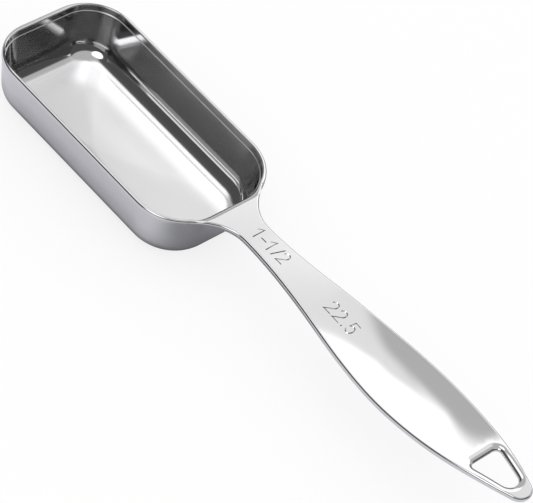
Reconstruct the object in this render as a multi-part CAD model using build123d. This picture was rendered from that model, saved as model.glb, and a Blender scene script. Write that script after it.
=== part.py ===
from build123d import *
from math import cos, pi, radians, sin, tan
import os

os.makedirs("parts", exist_ok=True)

# A steel measuring spoon: a drawn cup, a stamped handle, and the weld bead that joins them.
# The cup stands on its flat floor at the origin, the handle points along +X and +Z is up.
# Lengths are in millimetres and angles in degrees.

# The drawn cup
bowl_length = 65.8
bowl_width = 33.9
bowl_height = 14.3
near_corner_radius = 12.4
far_corner_radius = 11.0
bowl_bottom_radius = 5.9
bowl_steel = 1.2
wall_draft = 7.3
outer_rim_chamfer = 0.3
inner_rim_chamfer = 0.15

# The handle's outline, with its stations measured from the cup's end
handle_reach = 91.4
neck_reach = 8.3
neck_width = 7.2
grip_reach = 57.1
grip_width = 17.9
tip_radius = 3.0
root_blend_radius = 11.9

# The handle's section: its thickness, its rise and fall along its length, and the dished grip
handle_steel = 1.4
hump_height = 0.4
dip_reach = 51.4
tip_rise = 2.75
dish_depth = 0.8
dish_start_reach = 25.1
dish_full_reach = 47.1
dish_fade_reach = 65.1
dish_end_reach = 83.1

# The softened edges of the handle and its hole
top_edge_chamfer = 0.3
hole_edge_chamfer = 0.6
under_edge_chamfer = 0.2

# The hanging hole, a triangle with rounded corners, set back from the handle's tip
hole_setback = 3.7
hole_length = 9.3
hole_width = 7.9
hole_corner_radius = 1.2
hole_tip_radius = 2.3

# The weld bead under the neck
weld_leg = 1.3
weld_length = 6.4
weld_crown = 0.15
weld_end_chamfer = 0.5

# Trimming tools and blanks that get trimmed run past the handle by this much
overrun = 3.0

# Shares of the formed stretch of the handle at which its cross-sections stand
station_shares = [0, 0.01, 0.12, 0.25, 0.38, 0.5, 0.62, 0.75, 0.88, 1]

# Values that follow from the sizes above
bowl_end = bowl_length / 2
corner_x = bowl_end - near_corner_radius
corner_y = bowl_width / 2 - near_corner_radius
neck_x = bowl_end + neck_reach
grip_x = bowl_end + grip_reach
dip_x = bowl_end + dip_reach
tip_x = bowl_end + handle_reach
tip_centre_x = tip_x - tip_radius
hole_end_x = tip_x - hole_setback
hole_x = hole_end_x - hole_length
handle_top = bowl_height + tip_rise + overrun


def smooth_step(value, start, end):
    """Rise smoothly from 0 at start to 1 at end."""
    share = min(max((value - start) / (end - start), 0), 1)
    return share * share * (3 - 2 * share)


def cup(inset, steel):
    """Make a solid drafted cup that hangs from the rim's level, its walls inset and its floor raised."""
    outline = Rectangle(bowl_length - 2 * inset, bowl_width - 2 * inset)
    far_corners, near_corners = outline.vertices().group_by(Axis.X)
    outline = fillet(far_corners, far_corner_radius - inset)
    outline = fillet(outline.vertices().group_by(Axis.X)[-1], near_corner_radius - inset)
    body = extrude(Plane.XY.offset(bowl_height) * outline, amount=steel - bowl_height, taper=wall_draft)
    return fillet(body.edges().group_by(Axis.Z)[0], bowl_bottom_radius - steel)


def bowl_blank():
    """Make the cup's outside as a solid, with a sharp rim."""
    return cup(0, 0)


def bowl_hollow():
    """Make the space inside the cup, filled level with the rim."""
    return cup(bowl_steel / cos(radians(wall_draft)), bowl_steel)


def root_edges():
    """Draw the +Y edge of the handle's root, from inside the cup's corner to the neck."""
    corner = Vector(corner_x, corner_y)
    neck = Vector(neck_x, neck_width / 2)
    centre = neck + Vector(0, root_blend_radius)
    start_way = (corner - centre).normalized()
    middle_way = (start_way + Vector(0, -1)).normalized()
    start = centre + start_way * root_blend_radius
    middle = centre + middle_way * root_blend_radius
    return [Line(corner, start).edge(), ThreePointArc(start, middle, neck).edge()]


def grip_edges():
    """Draw the handle's edge from the neck through the grip, and round the tip to its far side."""
    neck = Vector(neck_x, neck_width / 2)
    grip = Vector(grip_x, grip_width / 2)
    reach = tip_centre_x - grip_x
    taper_radius = (grip.Y**2 + reach**2 - tip_radius**2) / (grip_width - 2 * tip_radius)
    centre = grip - Vector(0, taper_radius)
    touch_way = (Vector(tip_centre_x, 0) - centre).normalized()
    middle_way = (touch_way + Vector(0, 1)).normalized()
    touch = centre + touch_way * taper_radius
    swell = Spline(neck, grip, tangents=((1, 0), (1, 0))).edge()
    taper = ThreePointArc(grip, centre + middle_way * taper_radius, touch).edge()
    tip = ThreePointArc(touch, (tip_x, 0), (touch.X, -touch.Y)).edge()
    return [swell, taper], tip


def handle_column():
    """Raise the handle's outline into a column that trims whatever meets it."""
    sides, tip = grip_edges()
    upper = root_edges() + sides
    lower = [edge.mirror(Plane.XZ) for edge in upper]
    closing = Line((corner_x, corner_y), (corner_x, -corner_y)).edge()
    outline = Face(Wire(upper + [tip] + lower + [closing]))
    return extrude(outline, amount=handle_top, dir=(0, 0, 1))


def handle_level(x):
    """Give the height of the handle's top edge at x."""
    level = bowl_height + tip_rise * smooth_step(x, dip_x, tip_x)
    if neck_x < x < dip_x:
        level += hump_height * sin(pi * (x - neck_x) / (dip_x - neck_x)) ** 2
    return level


def dish_at(x):
    """Give the depth of the dish at x, below the edges of the grip at its full width."""
    begun = smooth_step(x, bowl_end + dish_start_reach, bowl_end + dish_full_reach)
    ended = smooth_step(x, bowl_end + dish_fade_reach, bowl_end + dish_end_reach)
    return dish_depth * begun * (1 - ended)


def handle_section(x):
    """Draw one cross-section of the formed sheet at x, wider than the handle."""
    half = grip_width / 2 + overrun
    dish = dish_at(x)
    lift = dish * (2 * half / grip_width) ** 2
    level = handle_level(x) - dish
    down = Vector(0, 0, -handle_steel)
    left = Vector(x, -half, level + lift)
    control = Vector(x, 0, level - lift)
    right = Vector(x, half, level + lift)
    top = Bezier(left, control, right).edge()
    right_side = Line(right, right + down).edge()
    under = Bezier(right + down, control + down, left + down).edge()
    left_side = Line(left + down, left).edge()
    return Face(Wire([top, right_side, under, left_side]))


def root_slab():
    """Make the flat sheet of the handle's root, level with the rim."""
    length = neck_x - corner_x
    slab = Box(length, bowl_width, handle_steel, align=(Align.MIN, Align.CENTER, Align.MAX))
    return Pos(corner_x, 0, bowl_height) * slab


def formed_sheet():
    """Make the sheet that rises, dips and is dished, from the neck past the tip."""
    length = tip_x + overrun - neck_x
    return loft([handle_section(neck_x + share * length) for share in station_shares])


def hole_column():
    """Raise the hanging hole's outline, wrapped round its three corner circles, into a cutter."""
    corner_circle_x = hole_x + hole_corner_radius
    corner_circle_y = hole_width / 2 - hole_corner_radius
    corners = [
        Pos(corner_circle_x, corner_circle_y) * Circle(hole_corner_radius),
        Pos(corner_circle_x, -corner_circle_y) * Circle(hole_corner_radius),
        Pos(hole_end_x - hole_tip_radius, 0) * Circle(hole_tip_radius),
    ]
    outline = make_hull([circle.edge() for circle in corners])
    return extrude(outline, amount=handle_top, dir=(0, 0, 1))


def upright(face):
    """Say whether a face is a wall."""
    return abs(face.normal_at().Z) < 0.5


def outline_wall(face):
    """Say whether a face is part of the handle's outline and not of its seat on the cup."""
    return upright(face) and face.normal_at().X > -0.5


def hole_wall(face):
    """Say whether a face is part of the hanging hole's wall."""
    middle = face.center()
    inside = hole_x - hole_edge_chamfer < middle.X < hole_end_x + hole_edge_chamfer
    return upright(face) and inside and abs(middle.Y) < hole_width / 2


def top_edges(body, is_wall):
    """Find the edges where a body's walls meet its top."""
    walls = body.faces().filter_by(is_wall).edges()
    tops = body.faces().filter_by(lambda face: face.normal_at().Z > 0.5).edges()
    return [edge for edge in walls if edge in tops]


def under_edges(body, is_wall):
    """Find the edges where a body's walls meet its underside."""
    walls = body.faces().filter_by(is_wall).edges()
    unders = body.faces().filter_by(lambda face: face.normal_at().Z < -0.5).edges()
    return [edge for edge in walls if edge in unders]


def make_bowl():
    """Draw the cup, leaving its rim square where the handle's root meets it."""
    blank = bowl_blank()
    eased = chamfer(blank.edges().group_by(Axis.Z)[-1], outer_rim_chamfer)
    shell = eased + (blank & handle_column()) - bowl_hollow()
    rim = shell.faces().filter_by(GeomType.PLANE).sort_by(Axis.Z)[-1]
    return chamfer(rim.inner_wires()[0].edges(), inner_rim_chamfer)


def make_handle():
    """Stamp the handle from its sheet, seat it on the cup's end, pierce it and soften its edges."""
    column = handle_column()
    sheet = ((column & root_slab()) - bowl_blank()) + (column & formed_sheet())
    body = sheet.solid()
    body = body.chamfer(top_edge_chamfer, None, top_edges(body, outline_wall))
    body = body.chamfer(under_edge_chamfer, None, under_edges(body, outline_wall))
    pierced = (body - hole_column()).solid()
    pierced = pierced.chamfer(hole_edge_chamfer, None, top_edges(pierced, hole_wall))
    return pierced.chamfer(under_edge_chamfer, None, under_edges(pierced, hole_wall))


def make_weld_bead():
    """Lay the bead in the corner between the cup's end wall and the underside of the handle."""
    lean = tan(radians(wall_draft))
    corner = Vector(bowl_end - handle_steel * lean, 0, bowl_height - handle_steel)
    out = corner + Vector(weld_leg, 0, 0)
    low = corner - Vector(weld_leg * lean, 0, weld_leg)
    crown = (out + low) * 0.5 + Vector(weld_crown, 0, -weld_crown)
    legs = [Line(low, corner).edge(), Line(corner, out).edge()]
    profile = Face(Wire(legs + [ThreePointArc(out, crown, low).edge()]))
    bead = extrude(profile, amount=weld_length / 2, dir=(0, 1, 0), both=True)
    crown_face = bead.faces().filter_by(GeomType.CYLINDER)[0]
    ends = crown_face.edges().filter_by(GeomType.CIRCLE)
    return chamfer(ends, weld_end_chamfer)


pieces = {"bowl": make_bowl(), "handle": make_handle(), "weld_bead": make_weld_bead()}
for name, piece in pieces.items():
    export_step(piece, f"parts/{name}.step")
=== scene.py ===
from math import atan, atan2, cos, pi, radians, sin, tan

import bpy
from mathutils import Matrix, Vector
from mathutils.geometry import delaunay_2d_cdt


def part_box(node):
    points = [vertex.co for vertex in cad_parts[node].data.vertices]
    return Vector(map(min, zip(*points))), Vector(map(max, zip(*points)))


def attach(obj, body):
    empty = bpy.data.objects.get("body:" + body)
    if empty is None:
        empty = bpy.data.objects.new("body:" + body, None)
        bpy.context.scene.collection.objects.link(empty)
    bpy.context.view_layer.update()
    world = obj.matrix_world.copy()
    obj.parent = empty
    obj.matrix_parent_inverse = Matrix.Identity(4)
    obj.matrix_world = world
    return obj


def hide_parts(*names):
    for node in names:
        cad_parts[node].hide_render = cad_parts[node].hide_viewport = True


# A polished steel measuring spoon. Every length is in metres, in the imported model's frame:
# the cup stands on its floor at the origin, the handle points along +X and +Z is up.
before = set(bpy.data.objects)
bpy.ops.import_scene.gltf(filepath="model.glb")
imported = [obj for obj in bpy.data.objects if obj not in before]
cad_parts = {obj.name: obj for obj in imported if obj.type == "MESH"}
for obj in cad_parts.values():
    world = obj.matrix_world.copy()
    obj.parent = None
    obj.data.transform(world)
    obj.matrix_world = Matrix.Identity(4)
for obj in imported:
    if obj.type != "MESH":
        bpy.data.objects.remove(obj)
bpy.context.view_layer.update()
mm = 0.001

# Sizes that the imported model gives
rim_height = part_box("bowl")[1].z
far_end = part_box("bowl")[0].x
tip_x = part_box("handle")[1].x

# The cup's outline at its rim, outside and inside
near_end = 32.7 * mm
half_width = 16.85 * mm
far_radius = 11.0 * mm
near_radius = 12.1 * mm
inner_far_end = -31.65 * mm
inner_near_end = 31.75 * mm
inner_half_width = 16.0 * mm
inner_far_radius = 9.1 * mm
inner_near_radius = 11.2 * mm

# The cup's wall: its lean, its floor, and the upright band under the rim outside
wall_lean = radians(7.3)
floor_thickness = 1.2 * mm
outer_bottom_radius = 5.9 * mm
inner_bottom_radius = 4.7 * mm
band_height = 1.4 * mm
band_lower_radius = 0.15 * mm
band_hollow_radius = 0.3 * mm
band_step_tilt = radians(50)

# The cup's rim, the ledge under it inside, and the roll that carries the handle's root down into the cup
rim_radius = 0.5 * mm
inner_rim_radius = 0.32 * mm
ledge_fall = 1.0 * mm
ledge_radius = 0.13 * mm
ledge_tilt = radians(15)
roll_radius = 1.8 * mm
seam_foot_reach = 0.8 * mm

# Under the handle's root the cup's outer rim is lower and nearly sharp, and blends into the plain rim
root_rim_radius = 0.03 * mm
root_drop = 0.4 * mm
root_blend_start_y = 7.5 * mm
root_blend_end_y = 10.5 * mm

# The slight crown of the cup's floor, and the extra slope that the polish of its far part shows
floor_crown = 0.17 * mm
crown_x = -4 * mm
crown_y = -6 * mm
far_slope = 0.03
far_slope_start_x = -8 * mm
far_slope_end_x = -26 * mm

# The handle lies over the cup's rim at its root, a hair above it
fit_gap = 0.015 * mm

# The handle's outline
root_tilt = radians(30)
neck_x = 41.2 * mm
neck_half = 3.6 * mm
grip_x = 90.0 * mm
grip_half = 8.95 * mm
tip_radius = 3.0 * mm
root_pull = 3.4 * mm
neck_pull = 5.2 * mm

# The handle's sheet: its rise and fall, its dish, and the extra slope that the polish of its tip shows
sheet_thickness = 1.4 * mm
hump_height = 0.2 * mm
dip_x = 84.3 * mm
tip_rise = 2.71 * mm
dish_depth = 0.8 * mm
dish_start_x = 62.0 * mm
dish_full_x = 80.0 * mm
dish_fade_x = 98.0 * mm
dish_end_x = 116.0 * mm
dish_side = 0.7 * mm
tip_slope = -0.1
tip_slope_start_x = 112.0 * mm
tip_slope_end_x = 117.0 * mm
edge_radius = 0.5 * mm
under_radius = 0.6 * mm

# The hanging hole
hole_setback = 3.7 * mm
hole_length = 9.3 * mm
hole_half_width = 3.95 * mm
hole_corner_radius = 1.2 * mm
hole_tip_radius = 2.3 * mm
hole_edge_radius = 0.65 * mm
hole_edge_stretch = 2.2
hole_under_radius = 0.65 * mm

# The engraved numbers: their pen, and where each numeral starts along the handle
digit_base_y = -1.35 * mm
digit_height = 3.3 * mm
digit_width = 1.95 * mm
stroke_width = 0.34 * mm
stroke_depth = 0.13 * mm
sharpest_turn_share = 0.5
first_number = [("1", 40.2 * mm), ("-", 42.4 * mm), ("1", 44.4 * mm), ("/", 46.8 * mm), ("2", 48.4 * mm)]
second_number = [("2", 63.9 * mm), ("2", 66.55 * mm), (".", 68.7 * mm), ("5", 70.3 * mm)]
first_number_share = 1
second_number_share = 1.03

# The weld bead in the corner under the neck
weld_half_length = 3.1 * mm
weld_leg = 1.3 * mm
weld_ripple = 0.05 * mm
weld_ripples = 9
weld_end_power = 6
weld_flat_share = 0.86
weld_sink = 0.15 * mm
weld_drop = 0.1 * mm

# How finely the meshes follow their curves
corner_steps = 28
long_side_steps = 24
short_side_steps = 10
outer_bottom_steps = 16
inner_bottom_steps = 18
outer_wall_steps = 6
inner_wall_steps = 8
band_steps = 2
ledge_steps = 5
outer_rim_steps = 7
inner_rim_steps = 9
floor_steps = 12
root_steps = 36
swell_steps = 64
taper_steps = 40
tip_steps = 14
hole_corner_steps = 12
hole_side_steps = 8
top_edge_steps = 8
under_edge_steps = 3
stroke_steps = 12
long_stroke_steps = 16
weld_steps = 54
weld_round_steps = 8
slope_reach = 0.05 * mm
grid_step = 1.3 * mm
grid_clearance_share = 0.35
merge_reach = 1e-6 * mm

# The steels: soft clouds in the polish, fine scratches along the handle, and a duller cup floor
polished_colour = (0.65, 0.65, 0.655)
polished_roughness = 0.08
polished_grain = 900
polished_scratch = 0.003 * mm
weld_colour = (0.6, 0.6, 0.61)
weld_roughness = 0.25
weld_grain = 600
weld_scratch = 0.01 * mm
cloud_scale = 120
cloud_detail = 3
cloud_low_share = 0.8
cloud_high_share = 1.25
floor_dullness = 0.12
dull_height = floor_thickness + 0.2 * mm
bright_height = floor_thickness + 0.8 * mm
scratch_stretch = (0.12, 1, 1)
scratch_detail = 2
scratch_strength_share = 0.3

# The camera: its place, its direction, and its focal length in the photograph's pixels
camera_place = Vector((281.79 * mm, -332.68 * mm, 439.12 * mm + rim_height))
camera_azimuth = radians(35.458)
camera_elevation = radians(47.212)
camera_roll = radians(17.867)
sensor_width = 36
picture_pixels = 533
focal_pixels = 2848.57
nearest_seen = 10 * mm

# The floor: its own colour, and the tints that only the polish mirrors: a painted reflection tone, dimmer
# and bluer than the floor, with painted shade behind the spoon, a painted shadow under its neck and painted
# contact shade at its foot
ground_half = 600 * mm
ground_colour = (0.98, 0.98, 0.98, 1)
ground_roughness = 0.9
ground_glow_share = 0.8
mirrored_colour = (0.88, 0.88, 0.93, 1)
# Painted shade on the mirrored floor behind the spoon
behind_shade_colour = (0.38, 0.38, 0.39, 1)
behind_azimuth = 95
behind_start = 3 * mm
behind_end = 18 * mm
# Painted shadow of the handle's neck on the mirrored floor
neck_shadow_colour = (0.42, 0.42, 0.45, 1)
neck_place = (44 * mm, -10 * mm, 0)
neck_far = 24 * mm
neck_close = 8 * mm
# Painted contact shade at the cup's foot on the mirrored floor, spread by ambient occlusion
contact_shadow_colour = (0.1, 0.1, 0.11, 1)
contact_reach = 6 * mm
contact_samples = 4

# The brightness of the zones of the studio that the polish mirrors
dark_light = 0.095
shade_light = 0.11
grey_light = 0.64
horizon_light = 0.95
panel_light = 1.75
strip_light = 1.12
bright_strip_light = 1.6
low_light = 0.32
softbox_light = 2.4
ceiling_light = 1.6
zenith_light = 1.75
key_light = 2.8
deep_share = 0.45

# Where the zones lie, in degrees. A side is an azimuth, with the angles from it at which the zone starts
# and is full. A spot is an azimuth and an elevation, with such angles. A level is two elevations, at which
# the zone starts and is full. A cut is two directions, each an azimuth and an elevation, and half its blur:
# the zone is full beyond the line through them.
grey_side = (112, 66, 56)
shade_spot = (-130, 35, 38, 30)
ceiling_level = (47, 53)
key_side = (-105, 120, 60)
key_level = (46.5, 50)
horizon_level = (4, 9)
softbox_spot = (-83, 54, 18, 14)
zenith_spot = (172, 66.6, 13, 9)
bright_strip_side = (142, 16, 12)
strip_cut = ((118, 46.3), (131, 44.5), 2)
strip_level = (18, 27)
panel_cut = ((120, 56), (133, 44), 3)
panel_side = (110, 25, 20)

# Counts of bounces between steel faces, at which a ray starts to mirror a zone of its own and does so fully
second_bounce = (1.2, 1.8)
third_bounce = (2.2, 2.8)


def smooth_step(value, start, end):
    """Rise smoothly from 0 at start to 1 at end."""
    share = min(max((value - start) / (end - start), 0), 1)
    return share * share * (3 - 2 * share)


def flat_way(angle):
    """Turn an angle in plan into a direction in plan."""
    return Vector((cos(angle), sin(angle)))


def add_arc(profile, radius, tilt, steps):
    """Carry a profile on round an arc to a new tilt of its normal; a hollow arc has a negative radius."""
    out, up, start = profile[-1]
    for step in range(1, steps + 1):
        angle = start + (tilt - start) * step / steps
        profile.append((
            out + radius * (cos(angle) - cos(start)),
            up + radius * (sin(angle) - sin(start)),
            angle,
        ))


def add_run(profile, length, steps):
    """Carry a profile straight on."""
    out, up, tilt = profile[-1]
    for step in range(1, steps + 1):
        reach = length * step / steps
        profile.append((out - reach * sin(tilt), up + reach * cos(tilt), tilt))


def outer_profile(top_radius, drop):
    """List the outside of the cup's wall from its floor to its rim, as way out, height and tilt."""
    top = rim_height - fit_gap
    bottom_rise = outer_bottom_radius * (1 - sin(wall_lean))
    hollow_rise = band_hollow_radius * (sin(band_step_tilt) - sin(wall_lean))
    lip_rise = band_lower_radius * sin(band_step_tilt)
    wall_rise = top - band_height - bottom_rise - hollow_rise
    profile = [(0, 0, -pi / 2)]
    add_arc(profile, outer_bottom_radius, -wall_lean, outer_bottom_steps)
    add_run(profile, wall_rise / cos(wall_lean), outer_wall_steps)
    add_arc(profile, -band_hollow_radius, -band_step_tilt, ledge_steps)
    add_arc(profile, band_lower_radius, 0, ledge_steps)
    add_run(profile, band_height - lip_rise - top_radius - drop, band_steps)
    band_out = profile[-1][0]
    add_arc(profile, top_radius, pi / 2, outer_rim_steps)
    return [(out - band_out - fit_gap, up, tilt) for out, up, tilt in profile]


def inner_profile(edge_round):
    """List the inside of the cup's wall from its rim to its floor, as way out, height and tilt."""
    top = rim_height - fit_gap
    wall_tilt = pi - wall_lean
    round_fall = edge_round * (1 - sin(wall_lean))
    bottom_fall = inner_bottom_radius * (1 - sin(wall_lean))
    profile = [(0, top, pi / 2)]
    add_arc(profile, edge_round, wall_tilt, inner_rim_steps)
    wall_out = profile[-1][0] + (top - profile[-1][1]) * tan(wall_lean)
    add_run(profile, (ledge_fall + rim_radius - round_fall) / cos(wall_lean), band_steps)
    add_arc(profile, -ledge_radius, pi / 2 + ledge_tilt, ledge_steps)
    add_arc(profile, ledge_radius, wall_tilt, ledge_steps)
    wall_fall = profile[-1][1] - floor_thickness - bottom_fall
    add_run(profile, wall_fall / cos(wall_lean), inner_wall_steps)
    add_arc(profile, -inner_bottom_radius, pi / 2, inner_bottom_steps)
    return [(out - wall_out, up, tilt) for out, up, tilt in profile]


def arc_points(centre, radius, start, end, steps):
    """Walk an arc in plan, giving each point and the way out from its centre."""
    points = []
    for step in range(steps + 1):
        way = flat_way(start + (end - start) * step / steps)
        points.append((centre + way * radius, way))
    return points


def rounded_loop(arcs, arc_steps):
    """Walk round a closed loop of arcs joined by straight sides, giving each point and the way out from it.

    Each arc has its centre, its radius, its start and end angles and the steps along the side after it.
    """
    points = []
    for arc, arc_after in zip(arcs, arcs[1:] + arcs[:1]):
        centre, radius, start, end, side_steps = arc
        points += arc_points(centre, radius, start, end, arc_steps)
        next_centre, next_radius, next_start = arc_after[:3]
        way = flat_way(next_start)
        side_start = points[-1][0]
        side_end = next_centre + way * next_radius
        points += [(side_start.lerp(side_end, step / side_steps), way) for step in range(1, side_steps)]
    return points


def rounded_outline(outline, grow):
    """Walk round a rectangle with rounded corners, giving each point and the way out from it."""
    far, near, half, far_corner, near_corner = outline
    far_corner, near_corner = far_corner + grow, near_corner + grow
    far_x, near_x = far - grow + far_corner, near + grow - near_corner
    far_y, near_y = half + grow - far_corner, half + grow - near_corner
    return rounded_loop([
        (Vector((near_x, near_y)), near_corner, 0, pi / 2, long_side_steps),
        (Vector((far_x, far_y)), far_corner, pi / 2, pi, short_side_steps),
        (Vector((far_x, -far_y)), far_corner, pi, 3 * pi / 2, long_side_steps),
        (Vector((near_x, -near_y)), near_corner, 3 * pi / 2, 2 * pi, short_side_steps),
    ], corner_steps)


outer_outline = (far_end, near_end, half_width, far_radius, near_radius)
inner_outline = (inner_far_end, inner_near_end, inner_half_width, inner_far_radius, inner_near_radius)


def root_share(point):
    """Say how far a point of the rim is under the handle's root: 0 outside it and 1 well inside it."""
    if point.x < 0:
        return 0
    return 1 - smooth_step(abs(point.y), root_blend_start_y, root_blend_end_y)


def solid_normal(way, tilt):
    """Turn a way out in plan and a tilt into a normal."""
    return Vector((way.x * cos(tilt), way.y * cos(tilt), sin(tilt)))


class Surface:
    """Collects a mesh's points, normals and faces, and makes its object."""

    def __init__(self):
        self.points = []
        self.normals = []
        self.faces = []
        self.flat = set()

    def add(self, point, normal):
        """Add a point and its normal, and give its number."""
        self.points.append(tuple(point))
        self.normals.append(normal.normalized())
        return len(self.points) - 1

    def add_face(self, corners, is_flat=False):
        """Add a face, which is shaded smoothly or flat."""
        if is_flat:
            self.flat.add(len(self.faces))
        self.faces.append(list(corners))

    def bridge(self, first, second, closed=True):
        """Join two rows of points with a strip of faces."""
        count = len(first)
        for index in range(count if closed else count - 1):
            after = (index + 1) % count
            self.add_face((first[index], first[after], second[after], second[index]))

    def make(self, name, material):
        """Make the object, with the collected normals at its corners."""
        mesh = bpy.data.meshes.new(name)
        mesh.from_pydata(self.points, [], self.faces)
        mesh.materials.append(material)
        mesh.polygons.foreach_set("use_smooth", [True] * len(mesh.polygons))
        corner_normals = []
        for face in mesh.polygons:
            own = face.normal.copy()
            for vertex in face.vertices:
                corner_normals.append(own if face.index in self.flat else self.normals[vertex])
        mesh.normals_split_custom_set(corner_normals)
        piece = bpy.data.objects.new(name, mesh)
        bpy.context.scene.collection.objects.link(piece)
        return piece


def cup_ring(surface, outline, plain, at_root):
    """Add one ring of the cup, blending the root's profile point in where the handle lies over the rim."""
    ring = []
    root_ring = rounded_outline(outline, at_root[0])
    for (point, way), (root_point, _) in zip(rounded_outline(outline, plain[0]), root_ring):
        share = root_share(point)
        place = point.lerp(root_point, share)
        height = plain[1] + (at_root[1] - plain[1]) * share
        ring.append(surface.add((place.x, place.y, height), solid_normal(way, plain[2])))
    return ring


def floor_rings(surface, edge):
    """Carry the cup's floor on from its edge to near its middle, with its slight crown."""
    middle = Vector((crown_x, crown_y))
    ways = [way for _, way in rounded_outline(inner_outline, 0)]
    rings = []
    for step in range(1, floor_steps + 1):
        share = 1 - step / (floor_steps + 1)
        height = floor_thickness + floor_crown * (1 - share**2) ** 2
        ring = []
        for index, way in zip(edge, ways):
            reach = Vector(surface.points[index][:2]) - middle
            place = middle + reach * share
            slope = 4 * floor_crown * share * (1 - share**2) / reach.dot(way)
            lean = far_slope * smooth_step(place.x, far_slope_start_x, far_slope_end_x)
            normal = Vector((way.x * slope + lean, way.y * slope, 1))
            ring.append(surface.add((place.x, place.y, height), normal))
        rings.append(ring)
    return rings


def make_bowl(material):
    """Draw the cup: its outside from the floor up, its rim, and its inside down to the floor."""
    surface = Surface()
    rings = []
    for plain, at_root in zip(outer_profile(rim_radius, 0), outer_profile(root_rim_radius, root_drop)):
        rings.append(cup_ring(surface, outer_outline, plain, at_root))
    for plain, at_root in zip(inner_profile(inner_rim_radius), inner_profile(roll_radius)):
        rings.append(cup_ring(surface, inner_outline, plain, at_root))
    rings += floor_rings(surface, rings[-1])
    surface.add_face(reversed(rings[0]))
    for lower, upper in zip(rings, rings[1:]):
        surface.bridge(lower, upper)
    surface.add_face(rings[-1])
    return surface.make("bowl_steel_cup", material)


def handle_level(x):
    """Give the height of the handle's top edge at x."""
    level = rim_height + tip_rise * smooth_step(x, dip_x, tip_x)
    if neck_x < x < dip_x:
        level += hump_height * sin(pi * (x - neck_x) / (dip_x - neck_x)) ** 2
    return level


def handle_height(x, y):
    """Give the height of the handle's top face, with its dish."""
    begun = smooth_step(x, dish_start_x, dish_full_x)
    ended = smooth_step(x, dish_fade_x, dish_end_x)
    dish = dish_depth * begun * (1 - ended)
    return handle_level(x) - dish * (1 - ((y - dish_side) / grip_half) ** 2)


def handle_slopes(x, y):
    """Give how steeply the handle's polish rises along X and along Y."""
    along_x = (handle_height(x + slope_reach, y) - handle_height(x - slope_reach, y)) / (2 * slope_reach)
    along_x += tip_slope * smooth_step(x, tip_slope_start_x, tip_slope_end_x)
    along_y = (handle_height(x, y + slope_reach) - handle_height(x, y - slope_reach)) / (2 * slope_reach)
    return Vector((along_x, along_y))


def top_normal(x, y):
    """Give the normal of the handle's top face."""
    slopes = handle_slopes(x, y)
    return Vector((-slopes.x, -slopes.y, 1))


def curve_point(ends, share):
    """Give a point on a cubic Bezier curve and the way out on its left."""
    start, start_pull, end_pull, end = ends
    first, second = start.lerp(start_pull, share), start_pull.lerp(end_pull, share)
    third = end_pull.lerp(end, share)
    near, far = first.lerp(second, share), second.lerp(third, share)
    point = near.lerp(far, share)
    pace = (far - near).normalized()
    return point, Vector((-pace.y, pace.x))


def root_points():
    """Walk the handle's +Y edge from the cup's corner to the neck."""
    corner = Vector((near_end - near_radius, half_width - near_radius))
    way = flat_way(root_tilt)
    root = corner + way * near_radius
    neck = Vector((neck_x, neck_half))
    ends = (root, root + Vector((way.y, -way.x)) * root_pull, neck - Vector((neck_pull, 0)), neck)
    return [curve_point(ends, step / root_steps) for step in range(root_steps)]


def swell_points():
    """Walk the handle's +Y edge from the neck to the grip's full width."""
    length = grip_x - neck_x
    growth = grip_half - neck_half
    points = []
    for step in range(swell_steps):
        share = step / swell_steps
        point = Vector((neck_x + length * share, neck_half + growth * smooth_step(share, 0, 1)))
        slope = growth * 6 * share * (1 - share) / length
        points.append((point, Vector((-slope, 1)).normalized()))
    return points


def taper_points():
    """Walk the handle's +Y edge from the grip's full width to the middle of the tip."""
    tip_centre = Vector((tip_x - tip_radius, 0))
    reach = tip_centre.x - grip_x
    taper_radius = (grip_half**2 + reach**2 - tip_radius**2) / (2 * (grip_half - tip_radius))
    taper_centre = Vector((grip_x, grip_half - taper_radius))
    touch = tip_centre - taper_centre
    touch_angle = atan2(touch.y, touch.x)
    taper = arc_points(taper_centre, taper_radius, pi / 2, touch_angle, taper_steps)
    return taper[:-1] + arc_points(tip_centre, tip_radius, touch_angle, 0, tip_steps)


def handle_outline():
    """Walk the whole handle's edge clockwise, from the +Y side of the root round the tip to the -Y side."""
    upper = root_points() + swell_points() + taper_points()
    mirror = Vector((1, -1))
    lower = [(point * mirror, way * mirror) for point, way in reversed(upper[:-1])]
    return upper + lower


def hole_outline():
    """Walk the hole's edge anticlockwise, round its three corner circles, with the way into the hole."""
    start_x = tip_x - hole_setback - hole_length
    corner = Vector((start_x + hole_corner_radius, hole_half_width - hole_corner_radius))
    other_corner = Vector((corner.x, -corner.y))
    tip = Vector((tip_x - hole_setback - hole_tip_radius, 0))
    between = tip - corner
    lean = atan2(between.y, between.x)
    shrink = (hole_corner_radius - hole_tip_radius) / between.length
    touch = lean + pi / 2 - atan(shrink / (1 - shrink**2) ** 0.5)
    points = rounded_loop([
        (corner, hole_corner_radius, touch, pi, hole_side_steps),
        (other_corner, hole_corner_radius, pi, 2 * pi - touch, hole_side_steps),
        (tip, hole_tip_radius, -touch, touch, hole_side_steps),
    ], hole_corner_steps)
    return [(point, -way) for point, way in points]


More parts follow.
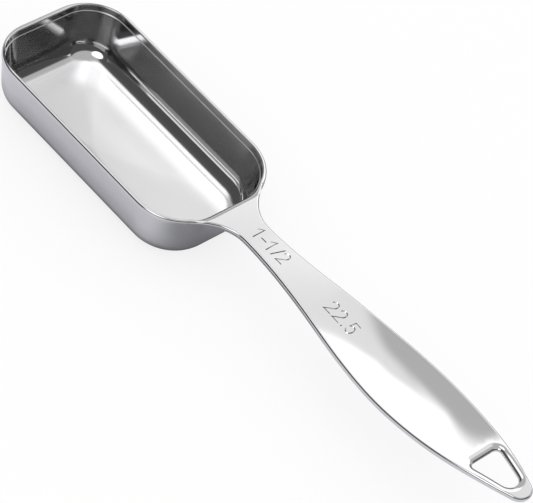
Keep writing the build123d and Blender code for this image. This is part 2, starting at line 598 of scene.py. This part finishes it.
def edge_column(surface, point, way, top_round, under_round, stretch):
    """Add the points that wrap a sheet's edge at one place, from its underside to its top."""
    slopes = handle_slopes(point.x, point.y)
    rise = slopes.dot(way)
    lean = atan(rise)
    top_lean = atan(rise * stretch)
    along = Vector((-way.y, way.x))
    climb = slopes.dot(along)
    up = Vector((-climb * along.x, -climb * along.y, 1))

    def place(radius, tilt, centre_height, stretch):
        spot = point + way * (radius * cos(tilt) - radius) * stretch
        normal = Vector((way.x, way.y, 0)) * cos(tilt) / stretch + up * sin(tilt)
        return surface.add((spot.x, spot.y, centre_height + radius * sin(tilt)), normal)

    under_spot = point - way * (under_round * (1 - sin(lean)))
    under_centre = handle_height(under_spot.x, under_spot.y) - sheet_thickness + under_round * cos(lean)
    top_spot = point - way * (top_round * (1 + sin(top_lean)) * stretch)
    top_centre = handle_height(top_spot.x, top_spot.y) - top_round * cos(top_lean)
    column = []
    for step in range(under_edge_steps + 1):
        tilt = (lean - pi / 2) * (1 - step / under_edge_steps)
        column.append(place(under_round, tilt, under_centre, 1))
    for step in range(top_edge_steps + 1):
        tilt = (pi / 2 + top_lean) * step / top_edge_steps
        column.append(place(top_round, tilt, top_centre, stretch))
    return column


def edge_rows(surface, outline, top_round, under_round, stretch):
    """Add the rows of points that wrap a sheet's edge, with its top rounding stretched over the sheet."""
    columns = [edge_column(surface, point, way, top_round, under_round, stretch) for point, way in outline]
    return [list(row) for row in zip(*columns)]


def seam_outline():
    """Walk the line where the handle's sheet ends over the cup's rim, from its -Y side to its +Y side."""
    points = []
    for point, way in rounded_outline(inner_outline, 0):
        angle = atan2(way.y, way.x)
        if point.x < 0 or abs(angle) > root_tilt:
            continue
        roll = inner_rim_radius + (roll_radius - inner_rim_radius) * root_share(point)
        reach = roll * (1 / cos(wall_lean) - tan(wall_lean)) + fit_gap
        foot = min(reach, seam_foot_reach)
        points.append((point + way * reach, point + way * foot, -way))
    points.sort(key=lambda spots: spots[0].y)
    return points


def seam_rows(surface):
    """Add the lower and the upper row of points where the handle's sheet ends over the cup's rim."""
    lows, highs = [], []
    for top, foot, way in seam_outline():
        lows.append(surface.add((foot.x, foot.y, rim_height - sheet_thickness), Vector((way.x, way.y, 0))))
        highs.append(surface.add((top.x, top.y, rim_height), Vector((0, 0, 1))))
    return lows, highs


def bend_shares(centre, radii, start, end, steps):
    """List the points of a numeral's round stroke, as shares, between two angles in degrees."""
    path = []
    for step in range(steps + 1):
        way = flat_way(radians(start + (end - start) * step / steps))
        path.append((centre[0] + radii[0] * way.x, centre[1] + radii[1] * way.y))
    return path


def numeral_shares():
    """List the pen's path through each numeral, in shares of its width and height."""
    two_bend = bend_shares((0.5, 0.71), (0.42, 0.29), 160, -38, stroke_steps)
    five_bend = bend_shares((0.48, 0.34), (0.42, 0.34), 128, -150, long_stroke_steps)
    return {
        "1": [(0.08, 0.72), (0.6, 1), (0.6, 0)],
        "2": two_bend + [(0.06, 0), (0.98, 0)],
        "5": [(0.88, 1), (0.24, 1), (0.14, 0.55)] + five_bend,
        "-": [(0.1, 0.4), (0.85, 0.4)],
        "/": [(0.1, 0), (0.62, 1)],
        ".": [(0.4, 0.01), (0.4, 0.09)],
    }


def engraved_paths():
    """Place every numeral's path on the handle."""
    path_shares = numeral_shares()
    paths = []
    for number, size_share in ((first_number, first_number_share), (second_number, second_number_share)):
        for numeral, x in number:
            paths.append([
                Vector((
                    x + across * digit_width * size_share,
                    digit_base_y + up * digit_height * size_share,
                ))
                for across, up in path_shares[numeral]
            ])
    return paths


def stroke_sides(path):
    """Give a groove's two borders, with its ends drawn out to points on its middle line."""
    half = stroke_width / 2
    left, right = [], []
    for index in range(len(path)):
        before = path[max(index - 1, 0)]
        after = path[min(index + 1, len(path) - 1)]
        first = (path[index] - before).normalized() if index else (after - path[index]).normalized()
        second = (after - path[index]).normalized() if index < len(path) - 1 else first
        way = (first + second).normalized()
        side = Vector((-way.y, way.x))
        miter = half / max(side.dot(Vector((-first.y, first.x))), sharpest_turn_share)
        left.append(path[index] + side * miter)
        right.append(path[index] - side * miter)
    start = path[0] - (path[1] - path[0]).normalized() * half
    end = path[-1] + (path[-1] - path[-2]).normalized() * half
    return [start] + left + [end], [start] + right + [end]


def inside(polygon, point):
    """Say whether a point is inside a polygon."""
    found = False
    for index in range(len(polygon)):
        first, second = polygon[index - 1], polygon[index]
        if (first.y > point.y) != (second.y > point.y):
            cross = first.x + (point.y - first.y) * (second.x - first.x) / (second.y - first.y)
            if point.x < cross:
                found = not found
    return found


def loop_edges(first, count):
    """Join neighbours in a closed loop of numbered points."""
    return [(first + index, first + (index + 1) % count) for index in range(count)]


def add_groove(path, places, edges):
    """Add a groove to a face's points and edges, and give its outline and its deep points' numbers."""
    left, right = stroke_sides(path)
    start = len(places)
    places += left + path + right[1:-1]
    left_side = list(range(start, start + len(left)))
    middle = list(range(left_side[-1] + 1, left_side[-1] + 1 + len(path)))
    right_side = list(range(middle[-1] + 1, middle[-1] + 1 + len(path)))
    first, last = left_side[0], left_side[-1]
    for line in (left_side, [first] + middle + [last], [first] + right_side + [last]):
        edges += zip(line, line[1:])
    return left + right[::-1], middle


def grid_places(outer_places, hole_places, fixed):
    """Spread points over the sheet in staggered rows, clear of its borders and grooves."""
    low = Vector((min(place.x for place in outer_places), min(place.y for place in outer_places)))
    high = Vector((max(place.x for place in outer_places), max(place.y for place in outer_places)))
    rows = int((high.y - low.y) / grid_step) + 1
    columns = int((high.x - low.x) / grid_step) + 1
    spots = []
    for column in range(columns):
        for row in range(rows):
            spot = low + Vector((column + (row % 2) / 2, row)) * grid_step
            if not inside(outer_places, spot) or inside(hole_places, spot):
                continue
            if min((spot - other).length for other in fixed) > grid_clearance_share * grid_step:
                spots.append(spot)
    return spots


def add_sheet_point(surface, spot, is_top, is_deep):
    """Add a point of the handle's top face, of a groove in it, or of its under face."""
    normal = top_normal(spot.x, spot.y)
    height = handle_height(spot.x, spot.y)
    if not is_top:
        return surface.add((spot.x, spot.y, height - sheet_thickness), -normal)
    if is_deep:
        height -= stroke_depth
    return surface.add((spot.x, spot.y, height), normal)


def fill_sheet(surface, boundary, hole, is_top):
    """Fill the handle's top or under face inside its rows of edge points, with grooves in the top."""
    known = boundary + hole
    places = [Vector(surface.points[index][:2]) for index in known]
    outer_places = places[:len(boundary)]
    hole_places = places[len(boundary):]
    edges = loop_edges(0, len(boundary)) + loop_edges(len(boundary), len(hole))
    grooves, deep = [], set()
    for path in engraved_paths() if is_top else []:
        groove, middle = add_groove(path, places, edges)
        grooves.append(groove)
        deep.update(middle)
    places += grid_places(outer_places, hole_places, places)
    found, _, triangles, sources, _, _ = delaunay_2d_cdt(places, edges, [], 0, merge_reach)
    numbers = []
    for spot, origins in zip(found, sources):
        source = origins[0] if origins else -1
        if 0 <= source < len(known):
            numbers.append(known[source])
        else:
            numbers.append(add_sheet_point(surface, spot, is_top, source in deep))
    for triangle in triangles:
        corners = [found[index] for index in triangle]
        middle = (corners[0] + corners[1] + corners[2]) / 3
        if not inside(outer_places, middle) or inside(hole_places, middle):
            continue
        is_groove = any(inside(groove, middle) for groove in grooves)
        order = triangle if is_top else reversed(triangle)
        surface.add_face([numbers[index] for index in order], is_groove)


def make_handle(material):
    """Stamp the handle: its rounded edge, its hole, and its dished faces with the engraved numbers."""
    surface = Surface()
    edge = edge_rows(surface, handle_outline(), edge_radius, under_radius, 1)
    seam_lows, seam_highs = seam_rows(surface)
    hole = edge_rows(surface, hole_outline(), hole_edge_radius, hole_under_radius, hole_edge_stretch)
    for lower, upper in zip(edge, edge[1:]):
        surface.bridge(upper, lower, closed=False)
    surface.bridge(seam_lows, seam_highs, closed=False)
    surface.add_face([row[0] for row in edge] + [seam_highs[-1], seam_lows[-1]], True)
    surface.add_face([row[-1] for row in reversed(edge)] + [seam_lows[0], seam_highs[0]], True)
    for lower, upper in zip(hole, hole[1:]):
        surface.bridge(upper, lower)
    fill_sheet(surface, edge[-1] + seam_highs, hole[-1], True)
    fill_sheet(surface, edge[0] + seam_lows, hole[0], False)
    return surface.make("handle_steel_sheet", material)


def weld_row(surface, y, size):
    """Add one cross-section of the weld bead, round its face and closed behind the corner."""
    lean = tan(wall_lean)
    corner_x = near_end - (sheet_thickness + weld_drop) * lean - weld_sink
    corner_z = rim_height - sheet_thickness
    row = []
    for step in range(weld_round_steps + 1):
        angle = pi / 2 * step / weld_round_steps
        crown = weld_flat_share + (1 - weld_flat_share) * sin(2 * angle)
        across, down = sin(angle), cos(angle)
        spot = (corner_x + size * crown * across - down * size * lean, y, corner_z - size * crown * down)
        row.append(surface.add(spot, Vector((across, 0, -down))))
    row.append(surface.add((corner_x - weld_leg / 2, y, corner_z + weld_leg / 8), Vector((-1, 0, 1))))
    return row


def make_weld(material):
    """Lay the weld bead in the corner under the neck, with the ripples of its laying."""
    surface = Surface()
    rows = []
    for step in range(weld_steps + 1):
        share = 2 * step / weld_steps - 1
        fade = (1 - abs(share) ** weld_end_power) ** 0.5
        size = (weld_leg + weld_ripple * cos(weld_ripples * pi * share)) * fade
        rows.append(weld_row(surface, share * weld_half_length, size))
    for first, second in zip(rows, rows[1:]):
        surface.bridge(first, second)
    surface.add_face(reversed(rows[0]), True)
    surface.add_face(rows[-1], True)
    return surface.make("weld_steel_bead", material)


def sky_way(azimuth, elevation):
    """Turn an azimuth and an elevation in degrees into a direction."""
    side, rise = radians(azimuth), radians(elevation)
    return Vector((cos(side) * cos(rise), sin(side) * cos(rise), sin(rise)))


class Nodes:
    """Adds shader nodes to a tree, whose inputs are filled with plain values or other nodes' outputs."""

    def __init__(self, tree):
        self.nodes = tree.nodes
        self.links = tree.links

    def fill(self, node, inputs):
        """Fill a node's inputs, given by name or by place."""
        for place, item in inputs.items():
            if isinstance(item, bpy.types.NodeSocket):
                self.links.new(item, node.inputs[place])
            else:
                node.inputs[place].default_value = item

    def add(self, kind, inputs):
        """Add a node of one kind."""
        node = self.nodes.new(kind)
        self.fill(node, inputs)
        return node

    def soft(self, value, low, high, start=0, end=1):
        """Go softly from start to end as a value goes from low to high."""
        node = self.nodes.new("ShaderNodeMapRange")
        node.interpolation_type = "SMOOTHSTEP"
        self.fill(node, {"Value": value, "From Min": low, "From Max": high, "To Min": start, "To Max": end})
        return node.outputs["Result"]

    def blend(self, share, low, high):
        """Mix two values by a share."""
        return self.add("ShaderNodeMix", {0: share, 2: low, 3: high}).outputs[0]

    def blend_colour(self, share, first, second):
        """Mix two colours by a share."""
        node = self.nodes.new("ShaderNodeMix")
        node.data_type = "RGBA"
        self.fill(node, {0: share, 6: first, 7: second})
        return node.outputs[2]

    def work(self, operation, first, second):
        """Work out a number from two others."""
        node = self.nodes.new("ShaderNodeMath")
        node.operation = operation
        self.fill(node, {0: first, 1: second})
        return node.outputs[0]

    def measure(self, operation, first, second):
        """Work out a number from two directions or places."""
        node = self.nodes.new("ShaderNodeVectorMath")
        node.operation = operation
        self.fill(node, {0: first, 1: second})
        return node.outputs["Value"]


class Sky(Nodes):
    """Builds the studio's surround out of soft-edged zones of brightness."""

    def __init__(self, tree):
        super().__init__(tree)
        self.direction = self.add("ShaderNodeTexCoord", {}).outputs["Generated"]
        self.height = self.add("ShaderNodeSeparateXYZ", {0: self.direction}).outputs["Z"]

    def above(self, low, high):
        """Rise from 0 at one elevation to 1 at another, in degrees."""
        return self.soft(self.height, sin(radians(low)), sin(radians(high)))

    def toward(self, azimuth, wide, narrow):
        """Rise from 0 to 1 as the direction comes near an azimuth, all in degrees."""
        level = self.nodes.new("ShaderNodeVectorMath")
        level.operation = "MULTIPLY"
        self.fill(level, {0: self.direction, 1: (1, 1, 0)})
        unit = self.nodes.new("ShaderNodeVectorMath")
        unit.operation = "NORMALIZE"
        self.fill(unit, {0: level.outputs[0]})
        facing = self.measure("DOT_PRODUCT", unit.outputs[0], sky_way(azimuth, 0))
        return self.soft(facing, cos(radians(wide)), cos(radians(narrow)))

    def near(self, azimuth, elevation, wide, narrow):
        """Rise from 0 to 1 as the direction comes near another, all in degrees."""
        facing = self.measure("DOT_PRODUCT", self.direction, sky_way(azimuth, elevation))
        return self.soft(facing, cos(radians(wide)), cos(radians(narrow)))

    def beyond(self, first, second, blur):
        """Rise from 0 to 1 across the great circle through two directions, all in degrees."""
        normal = sky_way(*second).cross(sky_way(*first)).normalized()
        reach = sin(radians(blur))
        return self.soft(self.measure("DOT_PRODUCT", self.direction, normal), -reach, reach)

    def mask(self, first, second):
        """Keep one share only where another is."""
        return self.work("MULTIPLY", first, second)


def cloudy_roughness(nodes, place, roughness):
    """Vary a steel's roughness in soft clouds."""
    clouds = nodes.add("ShaderNodeTexNoise", {
        "Vector": place,
        "Scale": cloud_scale,
        "Detail": cloud_detail,
    })
    spread = nodes.add("ShaderNodeMapRange", {
        "Value": clouds.outputs["Fac"],
        "To Min": roughness * cloud_low_share,
        "To Max": roughness * cloud_high_share,
    })
    return spread.outputs["Result"]


def floor_roughness(nodes, place):
    """Add roughness low in the cup, where the polishing wheel doesn't reach."""
    height = nodes.add("ShaderNodeSeparateXYZ", {0: place}).outputs["Z"]
    return nodes.soft(height, dull_height, bright_height, floor_dullness, 0)


def scratches(nodes, place, grain, depth):
    """Bend a steel's normals with fine scratches along the handle."""
    stretch = nodes.add("ShaderNodeMapping", {"Vector": place, "Scale": scratch_stretch})
    lines = nodes.add("ShaderNodeTexNoise", {
        "Vector": stretch.outputs["Vector"],
        "Scale": grain,
        "Detail": scratch_detail,
    })
    bump = nodes.add("ShaderNodeBump", {
        "Strength": scratch_strength_share,
        "Distance": depth,
        "Height": lines.outputs["Fac"],
    })
    return bump.outputs["Normal"]


def steel(name, colour, roughness, grain, depth):
    """Make a steel with a faint polishing haze and fine scratches."""
    material = bpy.data.materials.new(name)
    material.use_nodes = True
    nodes = Nodes(material.node_tree)
    place = nodes.add("ShaderNodeTexCoord", {}).outputs["Object"]
    cloudy = cloudy_roughness(nodes, place, roughness)
    nodes.fill(nodes.nodes["Principled BSDF"], {
        "Metallic": 1,
        "Base Color": (*colour, 1),
        "Roughness": nodes.work("ADD", cloudy, floor_roughness(nodes, place)),
        "Normal": scratches(nodes, place, grain, depth),
    })
    return material


def make_camera():
    """Place the camera where the photograph was taken from."""
    side, rise = camera_azimuth, camera_elevation
    back = Vector((sin(side) * cos(rise), -cos(side) * cos(rise), sin(rise)))
    level_right = Vector((cos(side), sin(side), 0))
    level_up = back.cross(level_right)
    right = level_right * cos(camera_roll) + level_up * sin(camera_roll)
    up = level_up * cos(camera_roll) - level_right * sin(camera_roll)
    data = bpy.data.cameras.new("camera")
    data.sensor_fit = "HORIZONTAL"
    data.sensor_width = sensor_width
    data.lens = sensor_width * focal_pixels / picture_pixels
    data.clip_start = nearest_seen
    camera = bpy.data.objects.new("camera", data)
    turn = Matrix((right, up, back)).transposed().to_4x4()
    camera.matrix_world = Matrix.Translation(camera_place) @ turn
    bpy.context.scene.collection.objects.link(camera)
    bpy.context.scene.camera = camera


def mirrored_ground(nodes):
    """Build the floor colour that only the polish mirrors: a painted reflection tone, with painted shade
    behind the spoon, a painted shadow under its neck and painted contact shade at its foot.
    """
    place = nodes.add("ShaderNodeTexCoord", {}).outputs["Object"]
    behind = nodes.measure("DOT_PRODUCT", place, sky_way(behind_azimuth, 0))
    neck_distance = nodes.measure("DISTANCE", place, neck_place)
    contact = nodes.add("ShaderNodeAmbientOcclusion", {"Distance": contact_reach})
    contact.samples = contact_samples
    # Painted shade behind the spoon, painted shadow under the neck and painted contact shade at the foot,
    # seen only in the polish
    in_behind_shade = nodes.soft(behind, behind_start, behind_end)
    in_neck_shadow = nodes.soft(neck_distance, neck_far, neck_close)
    colour = nodes.blend_colour(in_behind_shade, mirrored_colour, behind_shade_colour)
    colour = nodes.blend_colour(in_neck_shadow, colour, neck_shadow_colour)
    return nodes.blend_colour(contact.outputs["AO"], contact_shadow_colour, colour)


def ground_material():
    """Make the pale floor's material, which shows white to the camera and keeps the spoon's shadow."""
    material = bpy.data.materials.new("pale_floor")
    material.use_nodes = True
    nodes = Nodes(material.node_tree)
    rays = nodes.add("ShaderNodeLightPath", {})
    shader = nodes.nodes["Principled BSDF"]
    is_mirrored = rays.outputs["Is Glossy Ray"]
    nodes.fill(shader, {
        "Base Color": nodes.blend_colour(is_mirrored, ground_colour, mirrored_ground(nodes)),
        "Roughness": ground_roughness,
        "Specular IOR Level": 0,
    })
    both = nodes.add("ShaderNodeMixShader", {
        0: nodes.work("MULTIPLY", rays.outputs["Is Camera Ray"], ground_glow_share),
        1: shader.outputs[0],
        2: nodes.add("ShaderNodeEmission", {}).outputs[0],
    })
    nodes.fill(nodes.nodes["Material Output"], {"Surface": both.outputs[0]})
    return material


def make_floor():
    """Lay the pale floor that the spoon stands on."""
    corners = [(-1, -1), (1, -1), (1, 1), (-1, 1)]
    mesh = bpy.data.meshes.new("floor")
    mesh.from_pydata([(x * ground_half, y * ground_half, 0) for x, y in corners], [], [(0, 1, 2, 3)])
    mesh.materials.append(ground_material())
    floor = bpy.data.objects.new("floor", mesh)
    bpy.context.scene.collection.objects.link(floor)


def mirrored_panel(sky):
    """Build the panel that the handle and the cup's floor mirror, with its strip and its dark foot."""
    strip = sky.blend(sky.toward(*bright_strip_side), strip_light, bright_strip_light)
    panel = sky.blend(sky.beyond(*strip_cut), strip, panel_light)
    return sky.blend(sky.above(*strip_level), low_light, panel)


def mirrored_studio(sky, bounces):
    """Build the brightness that the polish mirrors, given the count of bounces between steel faces."""
    walls = sky.blend(sky.toward(*grey_side), dark_light, grey_light)
    ceiling = sky.blend(sky.near(*shade_spot), grey_light, shade_light)
    surround = sky.blend(sky.above(*ceiling_level), walls, ceiling)
    key = sky.blend(sky.toward(*key_side), ceiling_light, key_light)
    is_key = sky.mask(sky.soft(bounces, *second_bounce), sky.above(*key_level))
    surround = sky.blend(is_key, surround, key)
    surround = sky.blend(sky.above(*horizon_level), horizon_light, surround)
    surround = sky.blend(sky.near(*softbox_spot), surround, softbox_light)
    surround = sky.blend(sky.near(*zenith_spot), surround, zenith_light)
    is_panel = sky.mask(sky.beyond(*panel_cut), sky.toward(*panel_side))
    surround = sky.blend(is_panel, surround, mirrored_panel(sky))
    return sky.mask(surround, sky.blend(sky.soft(bounces, *third_bounce), 1, deep_share))


def make_world():
    """Light the spoon plainly with white, and give only its polish the studio's zones to mirror."""
    world = bpy.data.worlds.new("studio")
    bpy.context.scene.world = world
    world.use_nodes = True
    sky = Sky(world.node_tree)
    rays = sky.add("ShaderNodeLightPath", {})
    mirrored = mirrored_studio(sky, rays.outputs["Glossy Depth"])
    sky.fill(sky.nodes["Background"], {
        "Color": (1, 1, 1, 1),
        "Strength": sky.blend(rays.outputs["Is Glossy Ray"], 1, mirrored),
    })


polished_steel = steel(
    "polished_steel", polished_colour, polished_roughness, polished_grain, polished_scratch,
)
weld_steel = steel("weld_steel", weld_colour, weld_roughness, weld_grain, weld_scratch)
for maker, material, node, slot in (
    (make_bowl, polished_steel, "bowl", "bowl_steel"),
    (make_handle, polished_steel, "handle", "handle_steel"),
    (make_weld, weld_steel, "weld_bead", "weld_steel"),
):
    piece = maker(material)
    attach(piece, "root")
    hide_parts(node)

make_camera()
make_floor()
make_world()
bpy.context.scene.view_settings.view_transform = "Standard"
